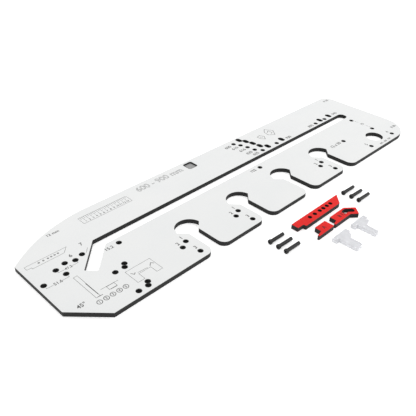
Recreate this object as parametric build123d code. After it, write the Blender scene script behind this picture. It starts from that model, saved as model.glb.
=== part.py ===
from build123d import *
import math
import os

# A worktop routing jig kit, laid out flat as it comes out of its bag.
#
# The jig is one long sheet of compact laminate with a guide slot, four keyhole
# templates and rows of peg holes. Beside it lie six location pegs, a stop bar,
# two hooks and two clear T keys.
#
# All sizes are in millimetres. The drawing frame of the functions below has X
# along the plate from its left end and Y across it from its near edge. place()
# shifts a finished piece into the part's frame: the origin is in the middle of
# the whole kit's footprint, on the surface it lies on, with +Z up.

# ---- Laminate sheet, used for the plate, the bar and the hooks ----
SHEET = 12.0
FACE = 0.8

# ---- How near a corner must lie to a given point to be that corner ----
SAME_POINT = 0.1

# ---- Plate outline ----
PLATE_LENGTH = 1225.0
PLATE_WIDTH = 324.0
NEAR_CHAMFER = 69.0
FAR_CURVE_R = 380.0
FAR_CURVE_X = 232.0
FAR_CORNER_R = 30.0
NEAR_CORNER_R = 86.0

# ---- Guide bush openings ----
BUSH_SLOT = 30.2
SLOT_FAR_Y = 209.6
SLOT_END_X = 1146.0
SLOT_END_R = 14.0
BRANCH_FAR_X = 168.1
BRANCH_REACH = 235.0
SLOT_CORNER_R = 2.0

# ---- Keyhole templates ----
KEYHOLE_COUNT = 4
KEYHOLE_X = 354.2
KEYHOLE_PITCH = 172.6
KEYHOLE_Y = 95.5
KEYHOLE_R = 35.2
KEYHOLE_NECK = 80.7
MOUTH_R = 20.0
END_HOLE = (1084.0, 47.5)
END_HOLE_R = 26.0

# ---- Peg holes ----
PEG_HOLE_R = 5.6
PITCH_SET_OFFSETS = (0, 1, 3)
PITCH_SET = ((314.5, 65.8), (294.8, 54.4), (314.9, 19.9))
LEFT_HOLES = (
    (13.2, 155.1), (55.4, 178.4), (64.8, 154.8), (80.8, 185.1),
    (102.6, 178.4), (123.6, 185.1), (204.7, 163.2),
)
CORNER_SET = ((6.5, 9.4), (0.0, 0.0), (-24.0, 0.0))
CORNER_SET_AT = ((163.6, 90.2), (163.6, 14.5))
RIGHT_HOLES = (
    (684.0, 163.6), (987.1, 94.0), (1127.7, 155.8),
    (1127.6, 80.6), (1142.1, 20.4), (1021.7, 20.1),
)
WIDTH_HOLES = (
    (729.4, 302.8), (739.6, 284.6), (746.0, 263.2), (750.3, 239.3),
    (765.2, 221.9), (829.0, 221.7), (1024.6, 221.4), (1072.7, 221.3),
)
WIDTH_SLOT_OFFSET = (29.5, 6.0)
WIDTH_SLOT_LENGTH = 20.0
WIDTH_SLOT_WIDTH = 13.0

# ---- Badge recess ----
BADGE_AT = (552.0, 300.5)
BADGE_RECESS = 28.5
BADGE_RECESS_DEPTH = 5.0
BADGE_RECESS_R = 5.0
BADGE_GAP = 0.3
BADGE_THICK = 1.2

# ---- Stop bar ----
BAR_LEFT_X = 537.0
BAR_FAR_Y = -57.0
BAR_LENGTH = 186.0
BAR_WIDTH = 27.5
BAR_STEP_LENGTH = 20.0
BAR_STEP_DEPTH = 8.0
BAR_CORNER_R = 3.0
BAR_HOLES_X = (55.2, 75.2, 95.2, 110.2, 125.2, 140.2)
BAR_HOLE_Y = 12.3
BAR_HOLE_R = 5.4

# ---- Hooks ----
HOOK_WIDTH = 26.8
HOOK_FAR_Y = -102.0
HOOK_TONGUE_ROOT = 8.8
HOOK_TONGUE_TIP = 4.6
HOOK_CORNER_R = 2.0
SHORT_HOOK_X = 566.0
SHORT_HOOK_LENGTH = 39.5
SHORT_HOOK_TONGUE = 19.0
LONG_HOOK_X = 627.0
LONG_HOOK_LENGTH = 58.0
LONG_HOOK_ARM = 31.0
LONG_HOOK_BEND = 40.0
LONG_HOOK_TONGUE = 14.5
HOOK_SLOT_WIDTH = 13.5
HOOK_SLOT_START = 39.0
HOOK_SLOT_SIDE = 5.0
HOOK_SLOT_MARGIN = 7.0
HOOK_SLOT_R = 5.4

# ---- Location pegs ----
PEG_SHANK_R = 4.4
PEG_HEAD_R = 6.0
PEG_HEAD_LENGTH = 4.5
PEG_LENGTH = 50.0
PEG_TIP_CHAMFER = 1.0
PEG_HEAD_CHAMFER = 0.5
PEG_DIMPLE_R = 2.2
PEG_DIMPLE_DEPTH = 2.5
PEG_ROWS_Y = (-60.4, -84.0, -105.8)
PEG_COLUMNS_X = (453.0, 749.0)

# ---- Clear T keys ----
KEY_HEIGHT = 10.0
KEY_WALL = 2.0
KEY_TOP = 2.4
KEY_FAR_Y = -151.5
KEY_HEAD_LENGTH = 54.0
KEY_HEAD_WIDTH = 12.5
KEY_REACH = 60.0
KEY_STEM_INSET = 10.0
KEY_SHOULDER_X = 46.0
KEY_SHOULDER_Y = 21.0
KEY_SLOPE_END_Y = 28.0
KEY_TIP_R = 4.0
WIDE_KEY_X = 564.5
WIDE_KEY_STEM = 23.0
NARROW_KEY_X = 641.8
NARROW_KEY_STEM = 15.5

# ---- The kit's footprint ----
KIT_CENTRE_X = PLATE_LENGTH / 2
KIT_CENTRE_Y = (PLATE_WIDTH + KEY_FAR_Y - KEY_REACH) / 2


def place(piece):
    """Move a piece from the drawing frame into the part's frame."""
    return Pos(-KIT_CENTRE_X, -KIT_CENTRE_Y, 0) * piece


def save(name, piece):
    """Write one node."""
    piece.label = name
    export_step(piece, f"parts/{name}.step")


def slab(face, low, high):
    """A flat piece of the given outline between two heights."""
    return Pos(0, 0, low) * extrude(face, high - low)


def disc(x, y, radius):
    """A round hole's outline."""
    return Pos(x, y) * Circle(radius)


def fillet_at(face, points, radius):
    """Round the outline's corners that lie at the given points."""
    corners = []
    for vertex in face.vertices():
        for x, y in points:
            if abs(vertex.X - x) + abs(vertex.Y - y) < SAME_POINT:
                corners.append(vertex)
    return fillet(corners, radius)


def write_sandwich(name, face):
    """Write a laminate piece: a dark core with a thin coloured face above and below."""
    save(f"{name}_core", place(slab(face, FACE, SHEET - FACE)))
    save(f"{name}_top_face", place(slab(face, SHEET - FACE, SHEET)))
    save(f"{name}_underside_face", place(slab(face, 0, FACE)))


# ---- Main plate ----

def keyhole_centres():
    return [KEYHOLE_X + i * KEYHOLE_PITCH for i in range(KEYHOLE_COUNT)]


def plate_outline():
    """Chamfered near left corner, one long curve at the far left, rounded right corners."""
    curve_y = PLATE_WIDTH - FAR_CURVE_R + math.sqrt(FAR_CURVE_R**2 - FAR_CURVE_X**2)
    chamfer_near = (NEAR_CHAMFER, 0)
    chamfer_far = (0, NEAR_CHAMFER)
    near_right = (PLATE_LENGTH, 0)
    far_right = (PLATE_LENGTH, PLATE_WIDTH)
    curve_top = (FAR_CURVE_X, PLATE_WIDTH)
    curve_foot = (0, curve_y)
    straight = Polyline(curve_foot, chamfer_far, chamfer_near, near_right, far_right, curve_top)
    curve = RadiusArc(curve_top, curve_foot, -FAR_CURVE_R)
    face = make_face([straight, curve])
    face = fillet_at(face, [far_right], FAR_CORNER_R)
    return fillet_at(face, [near_right], NEAR_CORNER_R)


def slot_outline():
    """The guide slot with its 45 degree branch at the left."""
    near_y = SLOT_FAR_Y - BUSH_SLOT
    across = BUSH_SLOT * math.sqrt(2)
    far_line = BRANCH_FAR_X - SLOT_FAR_Y
    near_line = far_line + across
    far_end = ((BRANCH_REACH + far_line) / 2, (BRANCH_REACH - far_line) / 2)
    near_end = ((BRANCH_REACH + near_line) / 2, (BRANCH_REACH - near_line) / 2)
    end_far = (SLOT_END_X, SLOT_FAR_Y)
    end_near = (SLOT_END_X, near_y)
    bends = [(BRANCH_FAR_X, SLOT_FAR_Y), (near_y + near_line, near_y)]
    face = make_face(Polyline(far_end, bends[0], end_far, end_near, bends[1], near_end, close=True))
    face = fillet_at(face, [end_far, end_near], SLOT_END_R)
    return fillet_at(face, [far_end, near_end] + bends, SLOT_CORNER_R)


def width_slot(x, y):
    """An oblong hole across the plate, beside each numbered width hole."""
    return Pos(x, y) * Rot(0, 0, 90) * SlotOverall(WIDTH_SLOT_LENGTH, WIDTH_SLOT_WIDTH)


def peg_hole_centres():
    centres = list(LEFT_HOLES) + list(RIGHT_HOLES) + list(WIDTH_HOLES)
    for at_x, at_y in CORNER_SET_AT:
        centres += [(at_x + dx, at_y + dy) for dx, dy in CORNER_SET]
    for step in PITCH_SET_OFFSETS:
        centres += [(x + step * KEYHOLE_PITCH, y) for x, y in PITCH_SET]
    return centres


def keyhole(x):
    """A mushroom shape: a parallel neck, 45 degree shoulders and a round crown."""
    half = BUSH_SLOT / 2
    spread = half + KEYHOLE_R
    top = KEYHOLE_NECK + KEYHOLE_R
    beyond = top + KEYHOLE_R
    shoulders = make_face(Polyline(
        (x - half, 0),
        (x + half, 0),
        (x + half, KEYHOLE_NECK),
        (x + spread, top),
        (x + spread, beyond),
        (x - spread, beyond),
        (x - spread, top),
        (x - half, KEYHOLE_NECK),
        close=True,
    ))
    neck = Pos(x, KEYHOLE_Y / 2) * Rectangle(BUSH_SLOT, KEYHOLE_Y)
    return shoulders & (disc(x, KEYHOLE_Y, KEYHOLE_R) + neck)


def plate_face():
    """The plate seen from above, with every opening that goes right through."""
    face = plate_outline()
    mouths = []
    for x in keyhole_centres():
        face -= keyhole(x)
        mouths += [(x - BUSH_SLOT / 2, 0), (x + BUSH_SLOT / 2, 0)]
    face = fillet_at(face, mouths, MOUTH_R)
    holes = [slot_outline(), disc(*END_HOLE, END_HOLE_R)]
    holes += [disc(x, y, PEG_HOLE_R) for x, y in peg_hole_centres()]
    for x, y in WIDTH_HOLES:
        holes.append(width_slot(x + WIDTH_SLOT_OFFSET[0], y + WIDTH_SLOT_OFFSET[1]))
    return face - holes


def badge_square(side):
    x, y = BADGE_AT
    return Pos(x, y) * RectangleRounded(side, side, BADGE_RECESS_R)


def write_plate():
    face = plate_face()
    floor = SHEET - BADGE_RECESS_DEPTH
    recess = slab(badge_square(BADGE_RECESS), floor, SHEET)
    tile = slab(badge_square(BADGE_RECESS - 2 * BADGE_GAP), floor, floor + BADGE_THICK)
    save("plate_core", place(slab(face, 0, SHEET - FACE) - recess))
    save("plate_top_face", place(slab(face, SHEET - FACE, SHEET) - recess))
    save("badge_tile", place(tile))


# ---- Stop bar and hooks ----

def bar_face():
    """A bar with a stepped tail, a 45 degree nose and six peg holes."""
    step = BAR_WIDTH - BAR_STEP_DEPTH
    nose = (BAR_LENGTH - BAR_WIDTH, -BAR_WIDTH)
    shoulder = (BAR_STEP_LENGTH, -BAR_WIDTH)
    root = (BAR_STEP_LENGTH, -step)
    face = make_face(Polyline((0, 0), (BAR_LENGTH, 0), nose, shoulder, root, (0, -step), close=True))
    face = fillet_at(face, [nose, shoulder, root], BAR_CORNER_R)
    face -= [disc(x, -BAR_HOLE_Y, BAR_HOLE_R) for x in BAR_HOLES_X]
    return Pos(BAR_LEFT_X, BAR_FAR_Y) * face


def hook_tongue(length):
    """The tapered tongue at a hook's left end, on its near side."""
    return make_face(Polyline(
        (0, -HOOK_WIDTH),
        (0, -HOOK_WIDTH + HOOK_TONGUE_ROOT),
        (-length, -HOOK_WIDTH + HOOK_TONGUE_TIP),
        (-length, -HOOK_WIDTH),
        close=True,
    ))


def short_hook_face():
    body = Pos(SHORT_HOOK_LENGTH / 2, -HOOK_WIDTH / 2) * Rectangle(SHORT_HOOK_LENGTH, HOOK_WIDTH)
    face = body + hook_tongue(SHORT_HOOK_TONGUE)
    face = fillet_at(face, [(0, 0), (SHORT_HOOK_LENGTH, 0)], HOOK_CORNER_R)
    return Pos(SHORT_HOOK_X, HOOK_FAR_Y) * face


def bent_strip(start, bend, arm, far, near):
    """A strip that runs along X and then turns towards the near side, between two offsets."""
    turn = math.radians(LONG_HOOK_BEND)
    along = (math.cos(turn), -math.sin(turn))
    across = (-math.sin(turn), -math.cos(turn))
    slip = math.tan(turn / 2)
    far_bend = (bend - far * slip, -far)
    near_bend = (bend - near * slip, -near)
    tip = (bend + arm * along[0], arm * along[1])
    far_tip = (tip[0] + far * across[0], tip[1] + far * across[1])
    near_tip = (tip[0] + near * across[0], tip[1] + near * across[1])
    return [(start, -far), far_bend, far_tip, near_tip, near_bend, (start, -near)]


def long_hook_face():
    """A hook whose arm turns towards the near side, with a slot that follows the turn."""
    outer = bent_strip(0, LONG_HOOK_LENGTH, LONG_HOOK_ARM, 0, HOOK_WIDTH)
    face = make_face(Polyline(*outer, close=True)) + hook_tongue(LONG_HOOK_TONGUE)
    face = fillet_at(face, [outer[1], outer[2], outer[3]], HOOK_CORNER_R)
    near = HOOK_SLOT_SIDE + HOOK_SLOT_WIDTH
    arm = LONG_HOOK_ARM - HOOK_SLOT_MARGIN
    inner = bent_strip(HOOK_SLOT_START, LONG_HOOK_LENGTH, arm, HOOK_SLOT_SIDE, near)
    slot = make_face(Polyline(*inner, close=True))
    slot = fillet_at(slot, [inner[0], inner[2], inner[3], inner[5]], HOOK_SLOT_R)
    return Pos(LONG_HOOK_X, HOOK_FAR_Y) * (face - slot)


# ---- Location pegs ----

def peg():
    """A headed peg lying on its side, its head's rim and its tip both on the surface."""
    reach = PEG_LENGTH - PEG_TIP_CHAMFER - PEG_HEAD_LENGTH
    droop = math.atan((PEG_HEAD_R - PEG_SHANK_R) / reach)
    profile = Polyline(
        (PEG_DIMPLE_DEPTH, 0),
        (PEG_DIMPLE_DEPTH, PEG_DIMPLE_R),
        (0, PEG_DIMPLE_R),
        (0, PEG_HEAD_R - PEG_HEAD_CHAMFER),
        (PEG_HEAD_CHAMFER, PEG_HEAD_R),
        (PEG_HEAD_LENGTH, PEG_HEAD_R),
        (PEG_HEAD_LENGTH, PEG_SHANK_R),
        (PEG_LENGTH - PEG_TIP_CHAMFER, PEG_SHANK_R),
        (PEG_LENGTH, PEG_SHANK_R - PEG_TIP_CHAMFER),
        (PEG_LENGTH, 0),
        close=True,
    )
    upright = revolve(make_face(profile), Axis.X)
    lift = PEG_HEAD_R * math.cos(droop) + PEG_HEAD_LENGTH * math.sin(droop)
    return Pos(0, 0, lift) * Rot(0, math.degrees(droop), 0) * upright


def write_pegs():
    number = 0
    for x in PEG_COLUMNS_X:
        for y in PEG_ROWS_Y:
            number += 1
            save(f"peg_{number}", place(Pos(x, y, 0) * peg()))


# ---- Clear T keys ----

def key_outline(stem):
    """The key from above: a head, a shoulder under its right half and a stem."""
    stem_right = KEY_STEM_INSET + stem
    return make_face(Polyline(
        (0, 0),
        (KEY_HEAD_LENGTH, 0),
        (KEY_HEAD_LENGTH, -KEY_HEAD_WIDTH),
        (KEY_SHOULDER_X, -KEY_HEAD_WIDTH),
        (KEY_SHOULDER_X, -KEY_SHOULDER_Y),
        (stem_right, -KEY_SLOPE_END_Y),
        (stem_right, -KEY_REACH),
        (KEY_STEM_INSET, -KEY_REACH),
        (KEY_STEM_INSET, -KEY_HEAD_WIDTH),
        (0, -KEY_HEAD_WIDTH),
        close=True,
    ))


def key(stem):
    """An open-backed moulding with a top skin, a wall all round and inner ribs."""
    outline = key_outline(stem)
    tips = [(KEY_STEM_INSET, -KEY_REACH), (KEY_STEM_INSET + stem, -KEY_REACH)]
    inside = offset(outline, -KEY_WALL, kind=Kind.INTERSECTION)
    middle = KEY_STEM_INSET + stem / 2
    half_way = -(KEY_SLOPE_END_Y + KEY_REACH) / 2
    ribs = Pos(middle, -KEY_HEAD_WIDTH) * Rectangle(stem, KEY_WALL)
    ribs += Pos(middle, half_way) * Rectangle(stem, KEY_WALL)
    ribs += Pos(KEY_STEM_INSET, -KEY_HEAD_WIDTH / 2) * Rectangle(KEY_WALL, KEY_HEAD_WIDTH)
    hollow = slab(inside - ribs, 0, KEY_HEIGHT - KEY_TOP)
    return slab(fillet_at(outline, tips, KEY_TIP_R), 0, KEY_HEIGHT) - hollow


os.makedirs("parts", exist_ok=True)
write_plate()
write_sandwich("stop_bar", bar_face())
write_sandwich("short_hook", short_hook_face())
write_sandwich("long_hook", long_hook_face())
write_pegs()
save("wide_key", place(Pos(WIDE_KEY_X, KEY_FAR_Y, 0) * key(WIDE_KEY_STEM)))
save("narrow_key", place(Pos(NARROW_KEY_X, KEY_FAR_Y, 0) * key(NARROW_KEY_STEM)))
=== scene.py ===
import math

import bmesh
import bpy
from mathutils import Matrix, Vector


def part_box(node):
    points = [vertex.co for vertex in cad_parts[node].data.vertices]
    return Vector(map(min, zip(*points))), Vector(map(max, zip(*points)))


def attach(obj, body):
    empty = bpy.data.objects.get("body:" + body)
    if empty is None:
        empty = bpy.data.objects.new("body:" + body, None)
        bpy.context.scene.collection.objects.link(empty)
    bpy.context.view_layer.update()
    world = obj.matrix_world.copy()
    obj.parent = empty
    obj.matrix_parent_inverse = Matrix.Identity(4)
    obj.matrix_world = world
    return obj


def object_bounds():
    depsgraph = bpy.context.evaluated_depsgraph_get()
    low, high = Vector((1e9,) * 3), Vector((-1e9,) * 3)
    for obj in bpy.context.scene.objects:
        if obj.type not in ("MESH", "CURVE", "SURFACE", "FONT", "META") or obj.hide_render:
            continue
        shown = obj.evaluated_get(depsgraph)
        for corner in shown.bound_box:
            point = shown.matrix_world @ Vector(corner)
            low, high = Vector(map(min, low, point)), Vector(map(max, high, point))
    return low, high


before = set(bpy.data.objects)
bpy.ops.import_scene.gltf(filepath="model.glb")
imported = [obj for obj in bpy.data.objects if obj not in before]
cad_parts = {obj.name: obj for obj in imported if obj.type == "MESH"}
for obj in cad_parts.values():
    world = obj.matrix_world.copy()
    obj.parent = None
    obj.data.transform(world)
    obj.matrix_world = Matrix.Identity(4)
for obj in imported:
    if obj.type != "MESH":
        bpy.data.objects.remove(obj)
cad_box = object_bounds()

# A worktop routing jig kit on a white table. Lengths are in metres unless a
# name says millimetres. The plate's own drawing frame, used for the engraved
# marks, has X along the plate from its left end and Y across it from its near
# edge, in millimetres.

PLATE_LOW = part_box("plate_core")[0]
PLATE_LEFT = PLATE_LOW[0]
PLATE_NEAR = PLATE_LOW[1]
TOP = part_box("plate_top_face")[1][2]
MM = 0.001

# ---- Camera ----
CAMERA_AT = (-0.94403, -0.67361, 0.75134)
CAMERA_AZIMUTH = -46.2526
CAMERA_ELEVATION = 34.6132
CAMERA_ROLL = 1.7619
LENS_MM = 46.66
SENSOR_MM = 36.0

# ---- Light ----
WORLD_COLOUR = (1.0, 1.0, 1.0, 1.0)
WORLD_STRENGTH = 0.80
KEY_LIGHT_AT = (2.2, -1.5, 1.9)
KEY_LIGHT_SIZE = 1.8
KEY_LIGHT_POWER = 28.0
FILL_LIGHT_AT = (0.1, 1.6, 2.0)
FILL_LIGHT_SIZE = 2.2
FILL_LIGHT_POWER = 16.0
FLOOR_RADIUS = 30.0
FLOOR_GAP = 0.0002
FLOOR_COLOUR = (0.93, 0.93, 0.93, 1.0)
FLOOR_GLOW = 0.45


# ---------------------------------------------------------------- node helpers

def new_material(name):
    """A node material and its main shader."""
    made = bpy.data.materials.new(name)
    made.use_nodes = True
    return made, made.node_tree, made.node_tree.nodes["Principled BSDF"]


def add(tree, kind, settings=None, values=None):
    """A node with its settings, and the values of its unlinked inputs."""
    made = tree.nodes.new(kind)
    for name, value in (settings or {}).items():
        setattr(made, name, value)
    for name, value in (values or {}).items():
        made.inputs[name].default_value = value
    return made


def noise(tree, scale, detail=2.0, roughness=0.5, stretch=(1.0, 1.0, 1.0)):
    """Noise in the part's own coordinates. Scale is in waves per metre."""
    place = add(tree, "ShaderNodeTexCoord")
    mapping = add(tree, "ShaderNodeMapping", values={"Scale": stretch})
    made = add(tree, "ShaderNodeTexNoise", values={"Scale": scale, "Detail": detail, "Roughness": roughness})
    tree.links.new(place.outputs["Object"], mapping.inputs["Vector"])
    tree.links.new(mapping.outputs["Vector"], made.inputs["Vector"])
    return made.outputs["Fac"]


def ramp(tree, factor, stops):
    """A colour ramp through (position, colour) stops."""
    made = add(tree, "ShaderNodeValToRGB")
    points = made.color_ramp.elements
    while len(points) < len(stops):
        points.new(0.5)
    for point, (position, colour) in zip(points, stops):
        point.position = position
        point.color = colour
    tree.links.new(factor, made.inputs["Fac"])
    return made.outputs["Color"]


def blend(tree, factor, first, second, mode="MIX"):
    """Mix two colours; each of the three inputs is a socket or a value."""
    made = add(tree, "ShaderNodeMix", {"data_type": "RGBA", "blend_type": mode})
    for slot, value in ((0, factor), (6, first), (7, second)):
        if isinstance(value, bpy.types.NodeSocket):
            tree.links.new(value, made.inputs[slot])
        else:
            made.inputs[slot].default_value = value
    return made.outputs[2]


def spread(tree, factor, low, high):
    """Stretch a 0 to 1 factor onto another range."""
    made = add(tree, "ShaderNodeMapRange", values={"To Min": low, "To Max": high})
    tree.links.new(factor, made.inputs["Value"])
    return made.outputs["Result"]


def calculate(tree, operation, first, second):
    made = add(tree, "ShaderNodeMath", {"operation": operation})
    for slot, value in ((0, first), (1, second)):
        if isinstance(value, bpy.types.NodeSocket):
            tree.links.new(value, made.inputs[slot])
        else:
            made.inputs[slot].default_value = value
    return made.outputs[0]


def bump(tree, shader, height, strength, distance):
    made = add(tree, "ShaderNodeBump", values={"Strength": strength, "Distance": distance})
    tree.links.new(height, made.inputs["Height"])
    tree.links.new(made.outputs["Normal"], shader.inputs["Normal"])


def axis_of(tree, output_node, output, axis):
    """One axis of a vector output."""
    split = add(tree, "ShaderNodeSeparateXYZ")
    tree.links.new(output_node.outputs[output], split.inputs["Vector"])
    return split.outputs[axis]


def grey(level, warm=0.0):
    """A linear grey, a little warm or cool."""
    return (level * (1 + warm), level, level * (1 - warm), 1.0)


# ------------------------------------------------------------------- materials

def side_below(tree, height):
    """1 on upright faces below a height, else 0."""
    geometry = add(tree, "ShaderNodeNewGeometry")
    place = add(tree, "ShaderNodeTexCoord")
    facing = calculate(tree, "ABSOLUTE", axis_of(tree, geometry, "Normal", "Z"), 0.0)
    upright = calculate(tree, "LESS_THAN", facing, 0.5)
    low = calculate(tree, "LESS_THAN", axis_of(tree, place, "Object", "Z"), height)
    return calculate(tree, "MULTIPLY", upright, low)


def laminate_face(name, light, dark, mark, roughness, specular):
    """High pressure laminate: a fine suede texture, faint mottling and handling marks.

    Only the top of its cut side shows the coloured film; the rest is dark backing.
    """
    made, tree, shader = new_material(name)
    cloud = noise(tree, 9.0, 3.0)
    grain = noise(tree, 900.0, 3.0, 0.6)
    scuffs = noise(tree, 55.0, 6.0, 0.7, (1.0, 7.0, 1.0))
    colour = ramp(tree, cloud, ((0.3, dark), (0.7, light)))
    speckle = ramp(tree, grain, ((0.35, grey(0.955)), (0.65, grey(1.0))))
    colour = blend(tree, 1.0, colour, speckle, "MULTIPLY")
    rubbed = spread(tree, ramp(tree, scuffs, ((0.60, grey(0.0)), (0.72, grey(1.0)))), 0.0, 0.35)
    colour = blend(tree, rubbed, colour, mark)
    colour = blend(tree, side_below(tree, TOP - FILM), colour, BACKING)
    tree.links.new(colour, shader.inputs["Base Color"])
    tree.links.new(spread(tree, scuffs, roughness - 0.07, roughness + 0.09), shader.inputs["Roughness"])
    shader.inputs["Specular IOR Level"].default_value = specular
    bump(tree, shader, grain, 0.25, 0.00012)
    return made


def laminate_core(name, underside):
    """The sawn edge of dark compact laminate: pressed layers, cutter ripple and dust.

    Faces that look straight down take the underside's colour.
    """
    made, tree, shader = new_material(name)
    layers = noise(tree, 60.0, 4.0, 0.65, (0.5, 0.5, 34.0))
    chatter = noise(tree, 420.0, 2.0, 0.5, (1.0, 1.0, 0.06))
    dust = noise(tree, 160.0, 5.0, 0.7)
    colour = ramp(tree, layers, ((0.30, grey(0.012, 0.03)), (0.55, grey(0.021)), (0.75, grey(0.034, -0.02))))
    ripple = ramp(tree, chatter, ((0.3, grey(0.80)), (0.7, grey(1.0))))
    colour = blend(tree, 1.0, colour, ripple, "MULTIPLY")
    dusty = spread(tree, ramp(tree, dust, ((0.58, grey(0.0)), (0.78, grey(1.0)))), 0.0, 0.4)
    colour = blend(tree, dusty, colour, grey(0.09, 0.04))
    normal = add(tree, "ShaderNodeNewGeometry")
    facing = axis_of(tree, normal, "Normal", "Z")
    under = calculate(tree, "LESS_THAN", facing, -0.9)
    colour = blend(tree, under, colour, underside)
    tree.links.new(colour, shader.inputs["Base Color"])
    tree.links.new(spread(tree, layers, 0.5, 0.72), shader.inputs["Roughness"])
    shader.inputs["Specular IOR Level"].default_value = 0.2
    height = calculate(tree, "ADD", layers, chatter)
    bump(tree, shader, height, 0.35, 0.0002)
    return made


def moulded_black(name):
    """Black glass-filled plastic with a fine spark texture and lighter rubbed spots."""
    made, tree, shader = new_material(name)
    spark = noise(tree, 2200.0, 2.0, 0.6)
    wear = noise(tree, 140.0, 4.0, 0.65)
    colour = ramp(tree, wear, ((0.35, grey(0.006)), (0.62, grey(0.011)), (0.8, grey(0.030, 0.02))))
    tree.links.new(colour, shader.inputs["Base Color"])
    tree.links.new(spread(tree, wear, 0.34, 0.6), shader.inputs["Roughness"])
    shader.inputs["Specular IOR Level"].default_value = 0.35
    bump(tree, shader, spark, 0.3, 0.0001)
    return made


def clear_moulding(name):
    """Clear plastic, slightly clouded, with flow lines from moulding."""
    made, tree, shader = new_material(name)
    haze = noise(tree, 90.0, 3.0)
    flow = noise(tree, 240.0, 3.0, 0.6, (1.0, 0.18, 1.0))
    colour = ramp(tree, haze, ((0.3, (0.80, 0.805, 0.83, 1.0)), (0.7, (0.88, 0.885, 0.91, 1.0))))
    tree.links.new(colour, shader.inputs["Base Color"])
    tree.links.new(spread(tree, flow, 0.22, 0.42), shader.inputs["Roughness"])
    shader.inputs["Transmission Weight"].default_value = 0.28
    shader.inputs["IOR"].default_value = 1.3
    bump(tree, shader, flow, 0.08, 0.0002)
    return made


def badge_grey(name):
    """A plain grey tile with a brushed face."""
    made, tree, shader = new_material(name)
    brushed = noise(tree, 700.0, 3.0, 0.6, (0.05, 1.0, 1.0))
    colour = ramp(tree, brushed, ((0.3, grey(0.28)), (0.7, grey(0.41))))
    tree.links.new(colour, shader.inputs["Base Color"])
    tree.links.new(spread(tree, brushed, 0.3, 0.5), shader.inputs["Roughness"])
    shader.inputs["Metallic"].default_value = 0.3
    bump(tree, shader, brushed, 0.2, 0.0001)
    return made


def pale_floor(name):
    """A smooth white table, with a little light of its own so that shadows stay soft."""
    made, tree, shader = new_material(name)
    cloud = noise(tree, 2.0, 2.0)
    colour = ramp(tree, cloud, ((0.2, grey(0.92)), (0.8, grey(0.95))))
    tree.links.new(colour, shader.inputs["Base Color"])
    shader.inputs["Roughness"].default_value = 0.9
    shader.inputs["Specular IOR Level"].default_value = 0.1
    shader.inputs["Emission Color"].default_value = FLOOR_COLOUR
    shader.inputs["Emission Strength"].default_value = FLOOR_GLOW
    return made


WHITE = (0.80, 0.805, 0.80, 1.0)
WHITE_SHADE = (0.775, 0.785, 0.785, 1.0)
WHITE_MARK = (0.73, 0.73, 0.72, 1.0)
RED = (0.80, 0.016, 0.012, 1.0)
RED_SHADE = (0.70, 0.011, 0.009, 1.0)
RED_MARK = (0.82, 0.045, 0.035, 1.0)
BACKING = (0.035, 0.034, 0.033, 1.0)
FILM = 0.00025

white_laminate = laminate_face("white_laminate_face", WHITE, WHITE_SHADE, WHITE_MARK, 0.42, 0.3)
red_laminate = laminate_face("red_laminate_face", RED, RED_SHADE, RED_MARK, 0.45, 0.2)
plate_edge = laminate_core("plate_laminate_edge", WHITE_SHADE)
small_edge = laminate_core("small_laminate_edge", grey(0.05))
peg_black = moulded_black("peg_black_plastic")
key_clear = clear_moulding("key_clear_plastic")
tile_grey = badge_grey("badge_tile_grey")

FINISHES = {
    "plate_top_face": white_laminate,
    "plate_core": plate_edge,
    "badge_tile": tile_grey,
    "wide_key": key_clear,
    "narrow_key": key_clear,
}
for piece in ("stop_bar", "short_hook", "long_hook"):
    FINISHES[f"{piece}_core"] = small_edge
    FINISHES[f"{piece}_top_face"] = red_laminate
    FINISHES[f"{piece}_underside_face"] = red_laminate
for number in range(1, 7):
    FINISHES[f"peg_{number}"] = peg_black

for node_name, finish in FINISHES.items():
    slots = bpy.data.objects[node_name].material_slots
    if slots:
        for slot in slots:
            slot.material = finish
    else:
        bpy.data.objects[node_name].data.materials.append(finish)


# ------------------------------------------------------------- engraved marks

# Every place below is in the plate's drawing frame, in millimetres.
INK_HEIGHT = 0.05
FINE_LINE = 0.8
BOLD_LINE = 1.5
OUTLINE_STROKE = 0.9
TEXT_WEIGHT = 0.03
CAP_HEIGHT = 0.7
RING_SIDES = 32

WIDTH_NUMBERS = (
    ("600", 702.5, 299.8), ("610", 714.0, 282.5), ("616", 721.5, 260.5), ("620", 725.0, 237.5),
    ("635", 735.0, 221.0), ("700", 884.0, 220.6), ("895", 998.0, 220.8), ("943", 1132.0, 223.6),
)
WIDTH_NUMBER_HEIGHT = 10.5
PITCH_NUMBERS = (("1", 315.0, 82.0), ("2", 294.8, 70.4), ("3", 315.2, 35.9))
PITCH_STEPS = (0.0, 172.6, 517.8)
LOOSE_NUMBERS = (
    ("4", 1140.7, 35.9), ("5", 1019.5, 35.5), ("6", 103.0, 197.4), ("7", 141.4, 215.1),
)
HOLE_NUMBER_HEIGHT = 10.0
SMALL_TEXTS = (
    ("12 mm", 117.5, 290.5, 8.0, 0.0), ("15.2", 177.0, 161.5, 9.0, 0.0), ("45°", 36.0, 58.5, 10.0, 0.0),
    ("12 x 30", 948.0, 95.5, 11.0, 0.0), ("R 86", 1190.0, 42.5, 9.0, 0.0),
    ("R 30", 1197.0, 302.0, 9.0, 0.0), ("600 - 650 - 700", 1083.0, 9.0, 6.5, 0.0),
    ("152", 656.0, 163.6, 9.5, 0.0),
)
SHORT_HOOK_TEXT = ("A", 583.0, -116.0, 9.0)
LONG_HOOK_TEXT = ("B 12", 656.0, -116.0, 9.0)
SIZE_RANGE = ("600 - 900 mm", 443.0, 300.0, 19.0)

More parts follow.
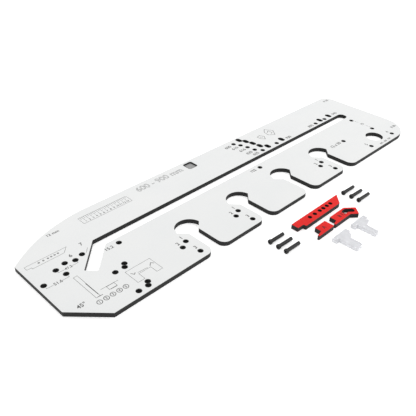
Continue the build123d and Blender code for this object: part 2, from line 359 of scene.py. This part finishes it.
BAR_PICTURE_AT = (13.0, 229.5)
BAR_PICTURE_SCALE = 0.54
BAR_LENGTH = 186.0
BAR_WIDTH = 27.5
BAR_STEP = (20.0, 19.5)
BAR_HOLES = (55.2, 75.2, 95.2, 110.2, 125.2, 140.2)
BAR_HOLE_Y = 12.3
BAR_PICTURE_HOLE_R = 1.6

RULER_LEFT = 190.0
RULER_LOW = 273.0
RULER_LENGTH = 140.0
RULER_WIDTH = 26.0
RULER_TICK = 5.0
RULER_LONG_TICK = 0.55
RULER_SHORT_TICK = 0.3
RULER_NUMBER_HEIGHT = 6.0
DIMENSION_END = 3.5
DIMENSION_GAP = 1.3

BOARD_PICTURE = ((153.8, 76.5), (218.5, 76.5), (218.5, 33.8), (203.0, 33.8),
                 (203.0, 53.8), (171.5, 53.8), (171.5, 34.3), (153.8, 34.3))
LONG_BOX = ((68.0, 134.6), (77.4, 134.6), (77.4, 55.6), (68.0, 55.6))
STEP_BOX = ((100.5, 67.8), (100.5, 57.0), (119.0, 57.0), (119.0, 67.8))
LARGE_TAG = ((855.0, 291.0), (870.0, 304.0), (885.0, 282.0), (869.0, 260.5), (852.0, 271.5))
SMALL_TAG = ((814.6, 285.0), (828.5, 288.0), (835.0, 275.0), (824.5, 261.0), (815.0, 273.0))
FINE_LINES = (
    ((87.5, 69.0), (129.5, 67.8)),
    ((145.1, 195.6), (132.8, 183.3)),
    ((172.0, 58.0), (197.0, 56.5)),
)
BOLD_LINES = (
    ((103.0, 56.8), (118.5, 56.2)),
    ((71.3, 56.0), (83.1, 55.2)),
    ((76.4, 104.0), (77.0, 62.0)),
    ((159.5, 66.0), (164.0, 58.5), (168.5, 62.0)),
    ((204.0, 57.0), (211.0, 64.0), (216.0, 58.0)),
    ((860.0, 284.0), (871.0, 290.0), (873.0, 275.0), (864.0, 272.0)),
    ((820.0, 279.0), (829.0, 274.0)),
)
STAGE_RINGS = (66.2, 82.2, 97.6, 113.4, 129.2)
STAGE_RING_Y = 42.2
STAGE_RING_R = 5.6
STAGE_NUMBER_HEIGHT = 6.0

# Holes smaller than the limit get a flat dark ring on the face: partly their bevelled edge that shows the
# dark core, partly painted shadow at the hole's mouth.
RIM_AND_SHADE_WIDTH = 1.2
RIM_LIMIT = 30.0
NEIGHBOUR_REACH = 40.0


def in_part(x, y):
    """A place in the drawing frame, as metres in the part's frame on the plate's face."""
    return Vector((PLATE_LEFT + x * MM, PLATE_NEAR + y * MM, TOP))


def raise_faces(shape, faces):
    """Give flat faces the thickness of the ink."""
    moved = bmesh.ops.extrude_face_region(shape, geom=faces)
    tops = [item for item in moved["geom"] if isinstance(item, bmesh.types.BMVert)]
    bmesh.ops.translate(shape, verts=tops, vec=(0, 0, INK_HEIGHT * MM))


def draw_line(shape, points, width=FINE_LINE, closed=False):
    """A stroke of even width through the points, with mitred corners."""
    places = [Vector(point) for point in points]
    count = len(places)
    sides = []
    for i, place in enumerate(places):
        before = places[i - 1] if closed or i > 0 else None
        after = places[(i + 1) % count] if closed or i < count - 1 else None
        arriving = (place - before).normalized() if before is not None else None
        leaving = (after - place).normalized() if after is not None else None
        arriving = arriving or leaving
        leaving = leaving or arriving
        across = Vector((-arriving.y - leaving.y, arriving.x + leaving.x)).normalized()
        reach = width / 2 / max(across.dot(Vector((-leaving.y, leaving.x))), 0.3)
        sides.append([shape.verts.new(in_part(*(place + side * reach * across))) for side in (-1, 1)])
    steps = range(count if closed else count - 1)
    faces = []
    for i in steps:
        (near_a, far_a), (near_b, far_b) = sides[i], sides[(i + 1) % count]
        faces.append(shape.faces.new((near_a, near_b, far_b, far_a)))
    raise_faces(shape, faces)


def ring_points(x, y, radius):
    turns = [2 * math.pi * i / RING_SIDES for i in range(RING_SIDES)]
    return [(x + radius * math.cos(turn), y + radius * math.sin(turn)) for turn in turns]


def draw_ring(shape, x, y, radius, width=FINE_LINE):
    draw_line(shape, ring_points(x, y, radius), width, closed=True)


def draw_text(shape, text, x, y, height, turn=0.0, stroke=0.0):
    """Text centred at a place. With a stroke, only the letters' outlines are drawn."""
    data = bpy.data.curves.new("mark_text", "FONT")
    data.body = text
    data.size = height / CAP_HEIGHT * MM
    data.align_x = "CENTER"
    data.align_y = "CENTER"
    data.resolution_u = 4
    data.offset = 0.0 if stroke else TEXT_WEIGHT * height * MM
    if stroke:
        data.fill_mode = "NONE"
        data.bevel_depth = stroke / 2 * MM
        data.bevel_resolution = 0
    else:
        data.extrude = INK_HEIGHT / 2 * MM
    holder = bpy.data.objects.new("mark_text", data)
    flat = bpy.data.meshes.new_from_object(holder)
    thin = INK_HEIGHT / stroke if stroke else 1.0
    lift = in_part(x, y) + Vector((0, 0, INK_HEIGHT / 2 * MM))
    spin = Matrix.Rotation(math.radians(turn), 4, "Z")
    flat.transform(Matrix.Translation(lift) @ spin @ Matrix.Diagonal((1, 1, thin, 1)))
    shape.from_mesh(flat)
    bpy.data.objects.remove(holder)
    bpy.data.curves.remove(data)
    bpy.data.meshes.remove(flat)


def mark_piece(name, draw, ink, body="jig_plate"):
    """One piece of engraving: draw() fills it, and it rides on a body."""
    shape = bmesh.new()
    draw(shape)
    bmesh.ops.recalc_face_normals(shape, faces=shape.faces)
    mesh = bpy.data.meshes.new(name)
    shape.to_mesh(mesh)
    shape.free()
    mesh.materials.append(ink)
    piece = bpy.data.objects.new(name, mesh)
    bpy.context.collection.objects.link(piece)
    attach(piece, body)


def draw_width_numbers(shape):
    for text, x, y in WIDTH_NUMBERS:
        draw_text(shape, text, x, y, WIDTH_NUMBER_HEIGHT)


def draw_hole_numbers(shape):
    for step in PITCH_STEPS:
        for text, x, y in PITCH_NUMBERS:
            draw_text(shape, text, x + step, y, HOLE_NUMBER_HEIGHT)
    for text, x, y in LOOSE_NUMBERS:
        draw_text(shape, text, x, y, HOLE_NUMBER_HEIGHT)


def draw_small_texts(shape):
    for text, x, y, height, turn in SMALL_TEXTS:
        draw_text(shape, text, x, y, height, turn)


def draw_short_hook_text(shape):
    draw_text(shape, *SHORT_HOOK_TEXT)


def draw_long_hook_text(shape):
    draw_text(shape, *LONG_HOOK_TEXT)


def draw_size_range(shape):
    draw_text(shape, *SIZE_RANGE, stroke=OUTLINE_STROKE)


def draw_bar_picture(shape):
    """The stop bar's own outline and holes, drawn small."""
    left, far = BAR_PICTURE_AT
    step_x, step_y = BAR_STEP
    outline = (
        (0, 0), (BAR_LENGTH, 0), (BAR_LENGTH - BAR_WIDTH, BAR_WIDTH),
        (step_x, BAR_WIDTH), (step_x, step_y), (0, step_y),
    )
    points = [(left + x * BAR_PICTURE_SCALE, far - y * BAR_PICTURE_SCALE) for x, y in outline]
    draw_line(shape, points, closed=True)
    for x in BAR_HOLES:
        centre = (left + x * BAR_PICTURE_SCALE, far - BAR_HOLE_Y * BAR_PICTURE_SCALE)
        draw_ring(shape, *centre, BAR_PICTURE_HOLE_R, BAR_PICTURE_HOLE_R)


def draw_ruler(shape):
    """A plain printed scale, with a long tick and a number at every second tick."""
    right = RULER_LEFT + RULER_LENGTH
    high = RULER_LOW + RULER_WIDTH
    corners = ((RULER_LEFT, RULER_LOW), (right, RULER_LOW), (right, high), (RULER_LEFT, high))
    draw_line(shape, corners, closed=True)
    for i in range(1, round(RULER_LENGTH / RULER_TICK)):
        x = RULER_LEFT + i * RULER_TICK
        reach = RULER_LONG_TICK if i % 2 == 0 else RULER_SHORT_TICK
        draw_line(shape, ((x, high), (x, high - reach * RULER_WIDTH)))
        if i % 2 == 0:
            draw_text(shape, str(i // 2), x, RULER_LOW + RULER_NUMBER_HEIGHT, RULER_NUMBER_HEIGHT)


def draw_dimension(shape, start, end, label, height):
    """A dimension line between two places, broken in the middle by its label."""
    first, last = Vector(start), Vector(end)
    along = (last - first).normalized()
    across = Vector((-along.y, along.x)) * DIMENSION_END
    gap = along * (height * DIMENSION_GAP)
    middle = (first + last) / 2
    draw_line(shape, (first + across, first, middle - gap))
    draw_line(shape, (middle + gap, last, last + across))
    draw_text(shape, label, middle.x, middle.y, height)


def draw_pictures(shape):
    draw_bar_picture(shape)
    for outline, width in ((BOARD_PICTURE, FINE_LINE), (LONG_BOX, FINE_LINE), (STEP_BOX, FINE_LINE),
                           (LARGE_TAG, BOLD_LINE), (SMALL_TAG, BOLD_LINE)):
        draw_line(shape, outline, width, closed=True)
    for points in FINE_LINES:
        draw_line(shape, points)
    for points in BOLD_LINES:
        draw_line(shape, points, BOLD_LINE)


def draw_stages(shape):
    """Rings numbered in the order of work."""
    for number, x in enumerate(STAGE_RINGS, 1):
        draw_ring(shape, x, STAGE_RING_Y, STAGE_RING_R, BOLD_LINE)
        draw_text(shape, str(number), x, STAGE_RING_Y, STAGE_NUMBER_HEIGHT)


def draw_dimensions(shape):
    draw_dimension(shape, (13.2, 143.5), (64.8, 143.5), "51.6", 8.0)
    draw_dimension(shape, (55.4, 168.0), (102.6, 168.0), "47.2", 7.0)
    draw_dimension(shape, (1132.0, 145.0), (1132.0, 91.5), "75", 9.0)


def face_outlines(node_name):
    """The closed outlines of a node's top face in drawing millimetres, material on the left."""
    node = bpy.data.objects[node_name]
    places = [node.matrix_world @ vertex.co for vertex in node.data.vertices]
    keys = [(round(place.x / MM, 3), round(place.y / MM, 3)) for place in places]
    sides = set()
    for face in node.data.polygons:
        if all(abs(places[i].z - TOP) < 0.01 * MM for i in face.vertices):
            corners = [keys[i] for i in face.vertices]
            sides.update(zip(corners, corners[1:] + corners[:1]))
    following = {start: end for start, end in sides if (end, start) not in sides}
    outlines = []
    while following:
        start, point = following.popitem()
        outline = [start]
        while point in following:
            outline.append(point)
            point = following.pop(point)
        outlines.append([Vector((x - PLATE_LEFT / MM, y - PLATE_NEAR / MM)) for x, y in outline])
    return outlines


def span(outline):
    """The larger side of an outline's box."""
    return max(max(axis) - min(axis) for axis in zip(*outline))


def draw_rims(shape):
    """A dark ring round every small hole, narrowed where two holes stand close: partly a bevel showing the
    dark core, partly painted shadow at the mouth.
    """
    holes = [outline for outline in face_outlines("plate_top_face") if span(outline) < RIM_LIMIT]
    for hole in holes:
        close = [other for other in holes if 0 < (other[0] - hole[0]).length < NEIGHBOUR_REACH]
        near = [point for other in close for point in other]
        rim = []
        for i, point in enumerate(hole):
            along = hole[(i + 1) % len(hole)] - hole[i - 1]
            outward = Vector((-along.y, along.x)).normalized()
            room = min(((point - other).length for other in near), default=NEIGHBOUR_REACH)
            reach = min(RIM_AND_SHADE_WIDTH, room / 2)
            rim.append([shape.verts.new(in_part(*place)) for place in (point, point + reach * outward)])
        faces = []
        for (near_a, far_a), (near_b, far_b) in zip(rim, rim[1:] + rim[:1]):
            faces.append(shape.faces.new((near_a, near_b, far_b, far_a)))
        raise_faces(shape, faces)


def engraved_ink(name):
    """Dark engraving, worn a little unevenly."""
    made, tree, shader = new_material(name)
    wear = noise(tree, 320.0, 4.0, 0.7)
    colour = ramp(tree, wear, ((0.3, grey(0.07)), (0.7, grey(0.16, 0.02))))
    tree.links.new(colour, shader.inputs["Base Color"])
    tree.links.new(spread(tree, wear, 0.55, 0.8), shader.inputs["Roughness"])
    bump(tree, shader, wear, 0.2, 0.0001)
    return made


dark_ink = engraved_ink("engraved_ink")
mark_piece("mark_width_numbers", draw_width_numbers, dark_ink)
mark_piece("mark_hole_numbers", draw_hole_numbers, dark_ink)
mark_piece("mark_small_texts", draw_small_texts, dark_ink)
mark_piece("mark_size_range", draw_size_range, dark_ink)
mark_piece("mark_ruler", draw_ruler, dark_ink)
mark_piece("mark_pictures", draw_pictures, dark_ink)
mark_piece("mark_stages", draw_stages, dark_ink)
mark_piece("mark_dimensions", draw_dimensions, dark_ink)
# The hole rims are flat dark rings: the dark core of a bevel, plus painted shadow at each hole's mouth.
mark_piece("plate_hole_rims_and_painted_shade", draw_rims, plate_edge)
mark_piece("mark_short_hook", draw_short_hook_text, small_edge, "short_hook")
mark_piece("mark_long_hook", draw_long_hook_text, small_edge, "long_hook")


# --------------------------------------------------------------- floor, lights

def add_floor():
    mesh = bpy.data.meshes.new("white_table")
    shape = bmesh.new()
    bmesh.ops.create_circle(shape, cap_ends=True, segments=96, radius=FLOOR_RADIUS)
    shape.to_mesh(mesh)
    shape.free()
    floor = bpy.data.objects.new("white_table", mesh)
    floor.location.z = cad_box[0][2] - FLOOR_GAP
    mesh.materials.append(pale_floor("white_table_paint"))
    bpy.context.collection.objects.link(floor)


def add_area_light(name, at, size, power):
    data = bpy.data.lights.new(name, "AREA")
    data.shape = "DISK"
    data.size = size
    data.energy = power
    light = bpy.data.objects.new(name, data)
    light.location = at
    light.rotation_euler = Vector(at).to_track_quat("Z", "Y").to_euler()
    bpy.context.collection.objects.link(light)


def add_world():
    world = bpy.data.worlds.new("soft_white_room")
    world.use_nodes = True
    background = world.node_tree.nodes["Background"]
    background.inputs["Color"].default_value = WORLD_COLOUR
    background.inputs["Strength"].default_value = WORLD_STRENGTH
    bpy.context.scene.world = world


def add_camera():
    """A level frame turned by azimuth and elevation, then rolled."""
    azimuth = math.radians(CAMERA_AZIMUTH)
    elevation = math.radians(CAMERA_ELEVATION)
    roll = math.radians(CAMERA_ROLL)
    back = Vector((
        math.sin(azimuth) * math.cos(elevation),
        -math.cos(azimuth) * math.cos(elevation),
        math.sin(elevation),
    ))
    level_right = (-back).cross(Vector((0, 0, 1))).normalized()
    level_up = level_right.cross(-back)
    right = math.cos(roll) * level_right + math.sin(roll) * level_up
    up = -math.sin(roll) * level_right + math.cos(roll) * level_up
    data = bpy.data.cameras.new("camera")
    data.lens = LENS_MM
    data.sensor_width = SENSOR_MM
    camera = bpy.data.objects.new("camera", data)
    turn = Matrix((right, up, back)).transposed().to_4x4()
    camera.matrix_world = Matrix.Translation(CAMERA_AT) @ turn
    bpy.context.collection.objects.link(camera)
    bpy.context.scene.camera = camera


add_floor()
add_world()
add_area_light("key_light", KEY_LIGHT_AT, KEY_LIGHT_SIZE, KEY_LIGHT_POWER)
add_area_light("fill_light", FILL_LIGHT_AT, FILL_LIGHT_SIZE, FILL_LIGHT_POWER)
add_camera()
bpy.context.scene.view_settings.view_transform = "Standard"
